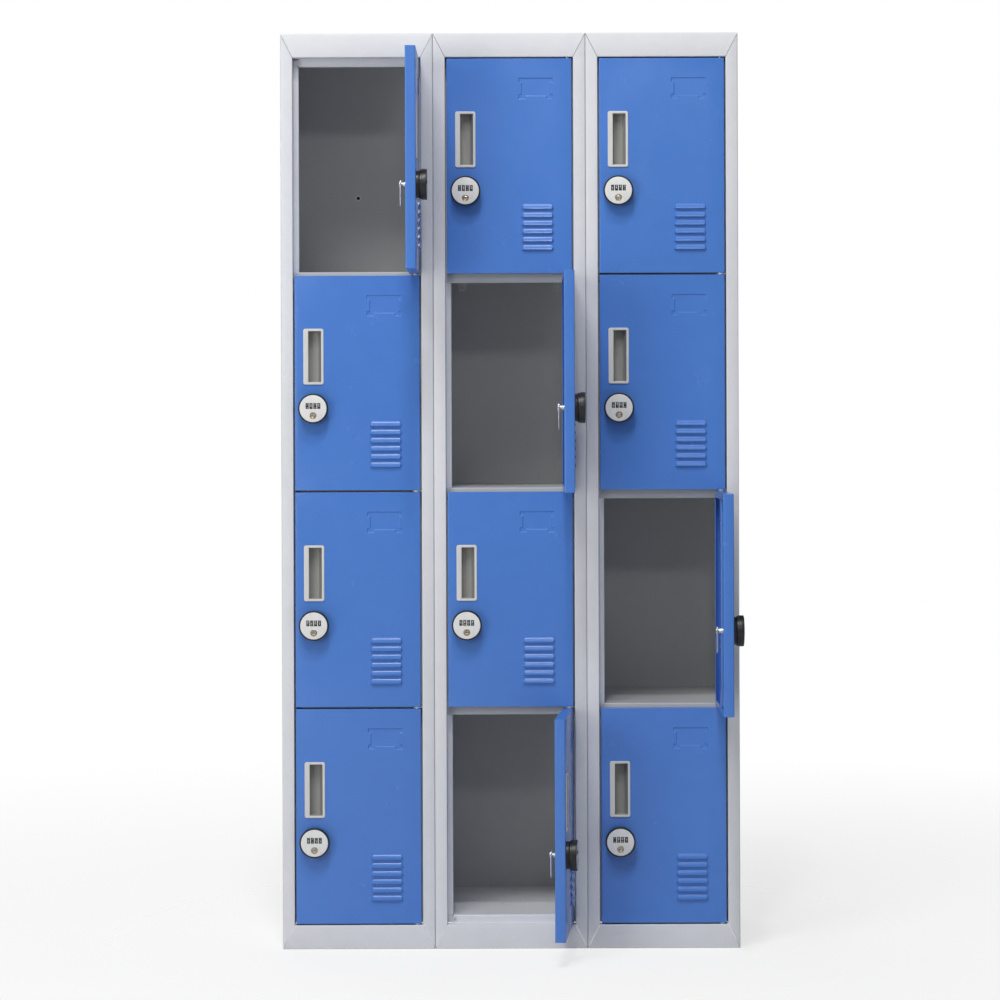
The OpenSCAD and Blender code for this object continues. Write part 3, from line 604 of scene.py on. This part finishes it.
def pull_mesh():
    """A moulded cup with a thin flange, a lip at the left to pull on and a sloping right wall."""
    z0, z1 = PULL_RISE - 55.0, PULL_RISE + 55.0
    c0, c1 = PULL_RISE - 51.7, PULL_RISE + 51.7
    h0, h1 = PULL_RISE - 50.2, PULL_RISE + 50.2

    def row(x0, x1, low, high, y, radius):
        return [(x, y, z) for x, z in rectangle(x0, x1, low, high, radius)]

    rows = [
        row(-15.7, 11.7, c0 + 1, c1 - 1, 17.0, 1.6),
        row(-16.4, 12.3, c0 + 0.3, c1 - 0.3, 16.6, 1.9),
        row(-16.7, 13.0, c0, c1, 15.6, 2.0),
        row(-16.7, 16.7, c0, c1, 0.0, 2.0),
        row(-20.0, 20.0, z0, z1, 0.0, 4.0),
        row(-20.0, 20.0, z0, z1, -1.1, 4.0),
        row(-19.7, 19.7, z0 + 0.3, z1 - 0.3, -1.75, 3.8),
        row(-19.1, 19.1, z0 + 0.9, z1 - 0.9, -2.0, 3.5),
        row(-16.0, 16.0, h0 - 0.8, h1 + 0.8, -2.0, 1.8),
        row(-15.4, 15.4, h0 - 0.2, h1 + 0.2, -1.75, 1.4),
        row(-15.2, 15.2, h0, h1, -1.1, 1.2),
        row(-15.2, 10.0, h0, h1, 13.6, 1.2),
        row(-14.6, 9.0, h0 + 0.6, h1 - 0.6, 14.9, 1.2),
        row(-13.4, 7.8, h0 + 1.8, h1 - 1.8, 15.5, 1.2),
    ]
    cup = loft("pull_cup", rows)
    lip_profile = filleted([
        (-16.0, -2.0, 0.0),
        (-10.0, -2.0, 0.9),
        (-10.0, 0.5, 0.9),
        (-16.0, 0.5, 0.0),
    ], 3, closed=True)
    lip_rows = [[(x, y, z) for x, y in lip_profile] for z in (h0 - 0.4, h1 + 0.4)]
    return joined("pull", [cup, loft("pull_lip", lip_rows)])


def prism(name, outline, y0, y1):
    """An outline in x and z made solid from y0 to y1."""
    return loft(name, [[(x, y, z) for x, z in outline] for y in (y0, y1)])


def drill(name, radius, y0, y1, steps=64, centre=(0.0, 0.0)):
    """A plain round cutter from y0 to y1."""
    return lathe(name, [(0.0, y0), (radius, y0), (radius, y1), (0.0, y1)], steps, centre)


def rose_mesh():
    """The fixed disc behind the grip, with the barrel that goes through the door."""
    profile = filleted([
        (0.0, ROSE_FRONT, 0),
        (ROSE_R, ROSE_FRONT, 1.4),
        (ROSE_R, 0.0, 0),
        (BARREL_R, 0.0, 0),
        (BARREL_R, BARREL_END, 0.6),
        (0.0, BARREL_END, 0),
    ])
    return lathe("lock_rose", profile)


def nut_mesh():
    """The hexagon nut that holds the barrel from inside."""
    corners = []
    for degrees in range(0, 360, 60):
        around = math.radians(degrees)
        corners.append((NUT_R * math.cos(around), NUT_R * math.sin(around), 0.8))
    outline = filleted(corners, 2, closed=True)
    body = slab("lock_nut", outline, NUT_START, NUT_END, 0.6)
    return cut("lock_nut", body, [drill("bore", NUT_BORE_R, NUT_START - 2.0, NUT_END + 2.0)])


def dial_centres():
    return [(i - (DIALS - 1) / 2) * DIAL_PITCH for i in range(DIALS)]


def window_outlines():
    for x in dial_centres():
        yield rectangle(x - 3.0, x + 3.0, DIAL_RISE - 5.7, DIAL_RISE + 5.7, 0.7)


def knob_mesh():
    """The turning grip, with its finger grooves, face recess, dial pocket and key bore."""
    seat_r = FACE_R + 0.1
    profile = filleted([
        (0.0, COLLAR_BACK, 0),
        (COLLAR_R, COLLAR_BACK, 0.6),
        (COLLAR_R, COLLAR_FRONT, 0),
        (GRIP_R, COLLAR_FRONT, 0.3),
        (GRIP_R, GRIP_FRONT, 1.1),
        (seat_r, GRIP_FRONT, 0.3),
        (seat_r, FACE_BACK, 0),
        (0.0, FACE_BACK, 0),
    ])
    body = lathe("knob", profile, 144)
    pocket = rectangle(-15.7, 15.7, DIAL_RISE - 6.2, DIAL_RISE + 6.2, 0.5)
    cutters = [
        prism("pocket", pocket, BEFORE_GRIP, POCKET_FLOOR),
        drill("key_bore", KEY_BORE_R, BEFORE_GRIP, POCKET_FLOOR, 48, (0.0, KEY_Z)),
    ]
    for i in range(GROOVES):
        lean = math.radians(90 + (i - (GROOVES - 1) // 2) * GROOVE_DEGREES)
        out = Vector((math.cos(lean), math.sin(lean)))
        side = Vector((-math.sin(lean), math.cos(lean)))
        deep, clear = out * (GRIP_R - 1.4), out * (GRIP_R + 1.0)
        groove = [deep - side * 0.45, clear - side, clear + side, deep + side * 0.45]
        outline = [tuple(point) for point in groove]
        cutters.append(prism("groove", outline, GRIP_FRONT - 1.0, COLLAR_FRONT - 0.1))
    return cut("knob", body, cutters)


def face_mesh():
    """The pale disc on the grip, with a window for each dial and a hole for the key cylinder."""
    profile = filleted([
        (0.0, FACE_FRONT, 0),
        (FACE_R, FACE_FRONT, 0.35),
        (FACE_R, FACE_BACK, 0),
        (0.0, FACE_BACK, 0),
    ], 3)
    cutters = [
        prism("window", outline, BEFORE_FACE, BEHIND_FACE) for outline in window_outlines()
    ]
    cutters.append(drill("key_hole", KEY_HOLE_R, BEFORE_FACE, BEHIND_FACE, centre=(0.0, KEY_Z)))
    return cut("face_plate", lathe("face_plate", profile, 144), cutters)


def key_ring_mesh():
    """The rim around the key plug."""
    profile = filleted([
        (KEY_SEAT_R, -19.3, 0),
        (KEY_SEAT_R, FACE_FRONT, 0.25),
        (KEY_RING_R, FACE_FRONT, 0.3),
        (KEY_RING_R, -10.0, 0),
        (KEY_SEAT_R, -10.0, 0),
        (KEY_SEAT_R, -19.3, 0),
    ], 3)
    return lathe("key_ring", profile, 64, (0.0, KEY_Z))


def key_plug_mesh():
    """The part of the cylinder that turns with the key, with its keyway."""
    profile = filleted([
        (0.0, -19.9, 0),
        (KEY_PLUG_R, -19.9, 0.35),
        (KEY_PLUG_R, -9.3, 0),
        (0.0, -9.3, 0),
    ], 3)
    plug = lathe("key_plug", profile, 64, (0.0, KEY_Z))
    keyway = rectangle(-3.4, 3.4, KEY_Z - 1.0, KEY_Z + 1.0, 0.4, 2)
    return cut("key_plug", plug, [prism("key_slot", keyway, -21.5, -10.5)])


def cam_mesh():
    """The flat locking tab, its corners rounded."""
    outline = filleted([
        (-CAM_HALF, CAM_TOP, 5.0),
        (-CAM_HALF, CAM_TIP, 4.0),
        (CAM_HALF, CAM_TIP, 4.0),
        (CAM_HALF, CAM_TOP, 5.0),
    ], 5, closed=True)
    return slab("cam", outline, CAM_START, CAM_END, 0.35)


def cam_screw_mesh():
    """The cross-head screw that holds the cam on its spindle."""
    profile = filleted([
        (0.0, SCREW_START, 0),
        (6.0, SCREW_START, 0.2),
        (6.0, 32.1, 0.6),
        (3.4, SCREW_END, 0.8),
        (0.0, SCREW_END, 0),
    ], 3)
    head = lathe("cam_screw", profile, 48)
    bars = [
        prism("bar", rectangle(-2.6, 2.6, -0.5, 0.5, 0.1, 1), 31.7, 34.0),
        prism("bar", rectangle(-0.5, 0.5, -2.6, 2.6, 0.1, 1), 31.6, 34.0),
    ]
    return cut("cam_screw", head, bars)


def spindle_mesh():
    """The rod from the grip through the barrel to the cam."""
    profile = filleted([
        (0.0, -7.0, 0),
        (SPINDLE_R, -7.0, 0),
        (SPINDLE_R, CAM_END, 0.3),
        (0.0, CAM_END, 0),
    ], 2)
    return lathe("spindle", profile, 48)


def axle_mesh():
    """The thin rod that the dials turn on."""
    ring = ellipse_arc(DIAL_Y, DIAL_RISE, AXLE_R, AXLE_R, 0, 345, 23)
    return loft("dial_axle", [[(x, y, z) for y, z in ring] for x in (-AXLE_HALF, AXLE_HALF)])


def wheel_mesh(centre_x):
    """One number wheel, bored for its axle, with a shallow finger notch between its numbers."""
    half = DIAL_T / 2
    steps = DIAL_STEPS * 8
    section = filleted([
        (DIAL_BORE_R, -half, 0),
        (DIAL_R, -half, 0.45),
        (DIAL_R, half, 0.45),
        (DIAL_BORE_R, half, 0),
    ], 3)
    points, rows = [], []
    for radius, x in section + [section[0]]:
        row = []
        for i in range(steps):
            notch = 0.32 if i % 8 == 4 and radius > 4.5 else 0.0
            around = 2 * math.pi * i / steps
            row.append(len(points))
            points.append((
                centre_x + x,
                DIAL_Y - (radius - notch) * math.cos(around),
                DIAL_RISE + (radius - notch) * math.sin(around),
            ))
        rows.append(row)
    faces = []
    for a, b in zip(rows, rows[1:]):
        bridge(faces, a, b, True)
    return new_mesh("dial_wheel", points, faces)


# Each number's strokes, 1 wide and 1.6 high
STROKES = {
    0: [ellipse_arc(0.5, 0.8, 0.45, 0.8, 0, 360)],
    1: [[(0.2, 1.3), (0.6, 1.6), (0.6, 0.0)]],
    2: [ellipse_arc(0.5, 1.15, 0.42, 0.45, 160, -35) + [(0.05, 0.0), (0.95, 0.0)]],
    3: [
        ellipse_arc(0.48, 1.2, 0.4, 0.4, 150, -90),
        ellipse_arc(0.48, 0.4, 0.45, 0.4, 90, -150),
    ],
    4: [[(0.95, 0.5), (0.05, 0.5), (0.7, 1.6), (0.7, 0.0)]],
    5: [
        [(0.9, 1.6), (0.2, 1.6), (0.12, 0.9)] + ellipse_arc(0.48, 0.5, 0.45, 0.5, 125, -145),
    ],
    6: [ellipse_arc(0.5, 0.48, 0.44, 0.48, 0, 360), [(0.07, 0.6), (0.6, 1.6)]],
    7: [[(0.05, 1.6), (0.95, 1.6), (0.35, 0.0)]],
    8: [
        ellipse_arc(0.5, 1.2, 0.37, 0.4, 0, 360),
        ellipse_arc(0.5, 0.4, 0.45, 0.4, 0, 360),
    ],
    9: [ellipse_arc(0.5, 1.12, 0.44, 0.48, 0, 360), [(0.93, 1.0), (0.4, 0.0)]],
}
DIGIT_H = 2.7
DIGIT_HALF_LINE = 0.30
PRINT_RISE = 0.005


def numbers_mesh(centre_x, first):
    """The wheel's printed numbers, wrapped a hair above it; number first faces the window."""
    points, faces = [], []
    size = DIGIT_H / 1.6
    radius = DIAL_R + PRINT_RISE
    for place in range(DIAL_STEPS):
        middle = 2 * math.pi * place / DIAL_STEPS
        for stroke in STROKES[(first + place) % DIAL_STEPS]:
            line = [Vector(((x - 0.5) * size, (z - 0.8) * size)) for x, z in stroke]
            row = []
            for i, here in enumerate(line):
                before, after = line[max(0, i - 1)], line[min(len(line) - 1, i + 1)]
                along = (after - before).normalized()
                side = Vector((-along.y, along.x)) * DIGIT_HALF_LINE
                for point in (here + side, here - side):
                    around = middle + point.y / radius
                    points.append((
                        centre_x + point.x,
                        DIAL_Y - radius * math.cos(around),
                        DIAL_RISE + radius * math.sin(around),
                    ))
                row.append((len(points) - 2, len(points) - 1))
            for a, b in zip(row, row[1:]):
                faces.append((a[0], a[1], b[1], b[0]))
    mesh = bpy.data.meshes.new("dial_numbers")
    mesh.from_pydata([Vector(point) * MM for point in points], [], faces)
    mesh.shade_smooth()
    return mesh


# -------------------------------------------------------- placing them by joint

def lock_frame(tag):
    """From lock millimetre axes to the row frame, read off the lock's two joints."""
    knob, dials = JOINTS["knob_" + tag], JOINTS["dials_" + tag]
    x, y, z = Vector(dials["axis"]), Vector(knob["axis"]), Vector((0, 0, 1))
    matrix = Matrix((x, y, z)).transposed().to_4x4()
    matrix.translation = Vector(knob["pos_m"])
    return matrix


SHARED = {
    "pull": ("pull", "door", pull_mesh()),
    "lock_rose": ("lock", "door", rose_mesh()),
    "lock_nut": ("zinc", "door", nut_mesh()),
    "knob": ("lock", "lock", knob_mesh()),
    "face_plate": ("lock_face", "lock", face_mesh()),
    "key_ring": ("brass", "lock", key_ring_mesh()),
    "key_plug": ("zinc", "lock", key_plug_mesh()),
    "spindle": ("zinc", "lock", spindle_mesh()),
    "cam": ("zinc", "lock", cam_mesh()),
    "cam_screw": ("zinc", "lock", cam_screw_mesh()),
    "dial_axle": ("zinc", "lock", axle_mesh()),
}
STANDS_FOR = {
    "pull": "door_fittings_",
    "lock_rose": "door_fittings_",
    "lock_nut": "door_fittings_",
}


def place(name, slot_name, body, mesh, matrix, node):
    """Puts a mesh on a door or lock: it rides on body and stands for node."""
    mesh.materials.clear()
    mesh.materials.append(MATERIALS[slot_name])
    if slot_name == "pull":
        paint_shade_in_cup(mesh)
    piece = linked(bpy.data.objects.new(name, mesh))
    piece.matrix_world = matrix
    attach(piece, body)
    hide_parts(node)


def paint_shade_in_cup(mesh):
    """Gives the faces inside and behind the pull's flange a darker copy of its plastic: painted
    shade in the deep cup.
    """
    mesh.materials.append(MATERIALS["pull_cup"])
    for face in mesh.polygons:
        deep = face.center.y > CUP_START * MM
        face.material_index = int(deep and len(face.vertices) >= 4)


for tag in TAGS:
    matrix = lock_frame(tag)
    for part, (slot_name, group, mesh) in SHARED.items():
        node = STANDS_FOR.get(part, "lock_knob_") + tag
        place(f"{part}_{tag}", slot_name, f"{group}_{tag}", mesh, matrix, node)
    body, node = "dials_" + tag, "dial_wheels_" + tag
    wheels = joined("dials", [wheel_mesh(x) for x in dial_centres()])
    numbers = [numbers_mesh(x, random.randrange(DIAL_STEPS)) for x in dial_centres()]
    place(f"dials_{tag}", "dial", body, wheels, matrix, node)
    place(f"dial_numbers_{tag}", "digit", body, joined("dial_numbers", numbers), matrix, node)


# --------------------------------------------------------- floor, light, camera

# The eye's place and the middle and width of the picture at the cabinet's front, in metres
GROUND = BOUNDS_IN[0][2]
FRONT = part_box("side_panels_left")[0].y
EYE_BACK = 6.1
EYE_X, EYE_RISE = 0.002, 1.055
VIEW_W = 1.966
VIEW_X, VIEW_RISE = -0.0196, 0.882
ROLL = math.radians(-0.19)
FLOOR_RINGS = (1.0, 3.0, 6.0, 9.0)
FLOOR_STEPS = 96
FLOOR_DROP = 0.0004
PATCH_HALF = 0.02
PATCH_GAP = 0.004


def floor():
    """A pale floor that lets the white behind it through, so that it has no edge."""
    rows, points, faces = [[0]], [(0.0, 0.0, -FLOOR_DROP)], []
    for radius in FLOOR_RINGS:
        row = []
        for i in range(FLOOR_STEPS):
            around = 2 * math.pi * i / FLOOR_STEPS
            row.append(len(points))
            points.append((radius * math.cos(around), radius * math.sin(around), -FLOOR_DROP))
        rows.append(row)
    for a, b in zip(rows, rows[1:]):
        bridge(faces, a, b, True)
    mesh = bpy.data.meshes.new("floor")
    mesh.from_pydata(points, [], faces)
    g = Graph("floor_paper")
    x, y, _ = g.split()
    squares = g.math("ADD", g.math("MULTIPLY", x, x), g.math("MULTIPLY", y, y))
    distance = g.math("SQRT", squares)
    tone = g.swing(g.noise(3.0, 3.0), 0.86, 0.88)
    colour = g.add("ShaderNodeCombineColor", {0: tone, 1: tone, 2: tone}).outputs[0]
    paper = g.add("ShaderNodeBsdfDiffuse", {"Color": colour, "Roughness": 0.5}).outputs[0]
    clear = g.add("ShaderNodeBsdfTransparent", {"Color": grey(1.0)}).outputs[0]
    seen = g.add("ShaderNodeLightPath").outputs["Is Camera Ray"]
    thin = g.ramp(distance, 0.6, 3.2, 0.70, 1.0)
    share = g.math("MULTIPLY", seen, thin)
    both = g.add("ShaderNodeMixShader", {0: share, 1: paper, 2: clear}).outputs[0]
    g.put(g.out.inputs["Surface"], both)
    mesh.materials.append(g.mat)
    linked(bpy.data.objects.new("floor", mesh))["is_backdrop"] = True


def wall_shade():
    """The unlit wall behind the cabinet, seen through the wall holes; it shades nothing itself."""
    g = Graph("wall_shade")
    dark = g.swing(g.noise(60.0, 3.0), 0.010, 0.016)
    colour = g.add("ShaderNodeCombineColor", {0: dark, 1: dark, 2: dark}).outputs[0]
    wall = g.add("ShaderNodeBsdfDiffuse", {"Color": colour}).outputs[0]
    clear = g.add("ShaderNodeBsdfTransparent", {"Color": grey(1.0)}).outputs[0]
    behind = g.add("ShaderNodeNewGeometry").outputs["Backfacing"]
    both = g.add("ShaderNodeMixShader", {0: behind, 1: wall, 2: clear}).outputs[0]
    g.put(g.out.inputs["Surface"], both)
    for number, ((x, y, z), _, _) in enumerate(WALL_HOLES):
        corners = []
        for a, b in ((-1, -1), (1, -1), (1, 1), (-1, 1)):
            corners.append((x + PATCH_HALF * a, y + PATCH_GAP, z + PATCH_HALF * b))
        mesh = bpy.data.meshes.new("wall_shade")
        mesh.from_pydata(corners, [], [(0, 1, 2, 3)])
        mesh.materials.append(g.mat)
        patch = linked(bpy.data.objects.new(f"wall_shade_{number + 1}", mesh))
        patch.visible_shadow = False
        patch.visible_diffuse = False
        patch.visible_glossy = False
        patch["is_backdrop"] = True


def white_world():
    """White behind the scene for the camera, and a faint cool light on the object."""
    world = bpy.data.worlds.new("white_world")
    bpy.context.scene.world = world
    world.use_nodes = True
    tree = world.node_tree
    tree.nodes.clear()
    out = tree.nodes.new("ShaderNodeOutputWorld")
    shown = tree.nodes.new("ShaderNodeBackground")
    shown.inputs["Color"].default_value = grey(1.0)
    shown.inputs["Strength"].default_value = 1.0
    soft = tree.nodes.new("ShaderNodeBackground")
    soft.inputs["Color"].default_value = (0.90, 0.95, 1.0, 1.0)
    soft.inputs["Strength"].default_value = 0.12
    path = tree.nodes.new("ShaderNodeLightPath")
    mix = tree.nodes.new("ShaderNodeMixShader")
    tree.links.new(path.outputs["Is Camera Ray"], mix.inputs[0])
    tree.links.new(soft.outputs[0], mix.inputs[1])
    tree.links.new(shown.outputs[0], mix.inputs[2])
    tree.links.new(mix.outputs[0], out.inputs["Surface"])


# name: place, aim, size, watts, colour
LAMPS = {
    "overhead_soft": ((-0.95, -3.3, 4.9), (0.0, -0.2, 0.8), (1.7, 1.3), 100.0, (1.0, 0.995, 0.98)),
    "overhead_crisp": ((-0.1, -2.6, 5.9), (0.0, -0.2, 0.9), (0.28, 0.28), 72.0, (1.0, 1.0, 1.0)),
    "left_front": ((-2.7, -3.9, 1.5), (0.0, -0.2, 0.8), (1.6, 2.2), 44.0, (1.0, 0.99, 0.97)),
    "right_front": ((3.2, -3.2, 1.8), (0.0, -0.2, 1.0), (1.2, 1.6), 1.5, (0.93, 0.96, 1.0)),
    "crisp_front": ((0.2, -5.4, 3.2), (0.0, -0.2, 0.9), (0.35, 0.35), 19.0, (1.0, 1.0, 1.0)),
    "back_rim": ((-1.5, 3.2, 2.6), (0.0, 0.2, 0.9), (2.4, 2.4), 60.0, (1.0, 1.0, 1.0)),
}


def lamps():
    """Soft and crisp rectangles of light from above, front and back, unseen by the camera."""
    for name, (at, aim, size, watts, colour) in LAMPS.items():
        data = bpy.data.lights.new(name, "AREA")
        data.shape = "RECTANGLE"
        data.size, data.size_y = size
        data.energy = watts
        data.color = colour
        light = linked(bpy.data.objects.new(name, data))
        light.location = at
        light.rotation_euler = (Vector(aim) - Vector(at)).to_track_quat("-Z", "Y").to_euler()
        light.visible_camera = False
        light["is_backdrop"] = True


def front_camera():
    """A camera level with the floor, its lens shifted to frame the whole cabinet."""
    data = bpy.data.cameras.new("camera")
    data.sensor_width = 36.0
    data.lens = data.sensor_width * EYE_BACK / VIEW_W
    data.shift_x = (VIEW_X - EYE_X) / VIEW_W
    data.shift_y = (VIEW_RISE - EYE_RISE) / VIEW_W
    camera = linked(bpy.data.objects.new("camera", data))
    camera.location = (EYE_X, FRONT - EYE_BACK, GROUND + EYE_RISE)
    camera.rotation_euler = Matrix.Rotation(math.radians(90), 3, "X").to_euler()
    camera.rotation_euler.rotate_axis("Z", ROLL)
    bpy.context.scene.camera = camera


floor()
wall_shade()
white_world()
lamps()
front_camera()
bpy.context.scene.view_settings.view_transform = "Standard"

[[list(corner) for corner in box] for box in (BOUNDS_IN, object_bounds())]
